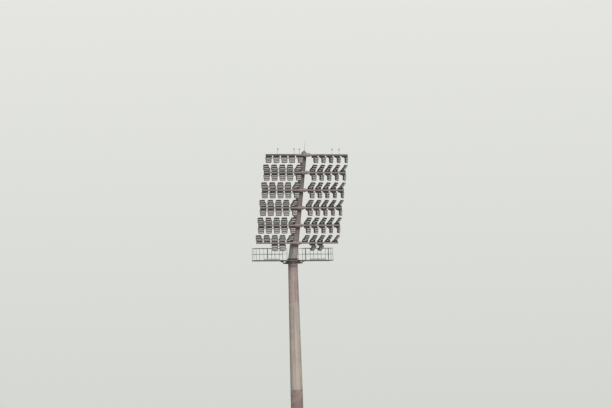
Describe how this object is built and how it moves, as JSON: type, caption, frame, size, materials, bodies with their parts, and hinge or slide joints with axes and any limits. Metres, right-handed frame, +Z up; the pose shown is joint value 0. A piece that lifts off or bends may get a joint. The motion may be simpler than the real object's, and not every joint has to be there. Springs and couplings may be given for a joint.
{
  "type": "stadium floodlight pylon",
  "caption": "Tapered steel stadium floodlight pylon with a raked head, lamp rows on crossarms, a railed service platform and a bolted base flange.",
  "frame": {"origin": "centre of the base flange's underside, on the mast's axis", "axes": "+Z up along the mast; the head leans towards -Y, the pitch side; the arms and the platform run along X"},
  "size_m": [8.95, 4.5896, 38.9019],
  "materials": {
    "mast_paint": "faded, chalky, banded in red and white",
    "head_paint": "faded and sooty",
    "arm_steel": "faded",
    "galvanised_steel": "dull galvanised",
    "stirrup_steel": "dark, weathered",
    "lamp_body": "weathered grey",
    "lamp_glass": "dusty",
    "platform_steel": "dark, weathered",
    "floor_grating": "weathered galvanised",
    "rail_steel": "weathered",
    "obstruction_red": "faded red"
  },
  "bodies": {
    "root": {"access_door": "mast_paint", "access_door_frame": "mast_paint", "arm_1": "arm_steel", "arm_2": "arm_steel", "arm_3": "arm_steel", "arm_4": "arm_steel", "arm_5": "arm_steel", "arm_6": "arm_steel", "arm_brackets": "arm_steel", "base_flange": "galvanised_steel", "base_gussets": "mast_paint", "guardrail_back": "rail_steel", "guardrail_ends": "rail_steel", "guardrail_front": "rail_steel", "head_flange": "mast_paint", "head_mast": "head_paint", "lamp_glass_above_arms": "lamp_glass", "lamp_glass_below_arms": "lamp_glass", "lamp_housings_arm_1": "lamp_body", "lamp_housings_arm_2": "lamp_body", "lamp_housings_arm_3": "lamp_body", "lamp_housings_arm_4": "lamp_body", "lamp_housings_arm_5": "lamp_body", "lamp_housings_arm_6": "lamp_body", "lamp_stirrups_arm_1": "stirrup_steel", "lamp_stirrups_arm_2": "stirrup_steel", "lamp_stirrups_arm_3": "stirrup_steel", "lamp_stirrups_arm_4": "stirrup_steel", "lamp_stirrups_arm_5": "stirrup_steel", "lamp_stirrups_arm_6": "stirrup_steel", "lightning_rod": "galvanised_steel", "mast_cap": "head_paint", "mast_section_bottom": "mast_paint", "mast_section_middle": "mast_paint", "mast_section_top": "mast_paint", "mast_top_flange": "mast_paint", "obstruction_lights": "obstruction_red", "platform_floor": "floor_grating", "platform_frame": "platform_steel", "platform_support": "platform_steel"}
  },
  "joints": []
}
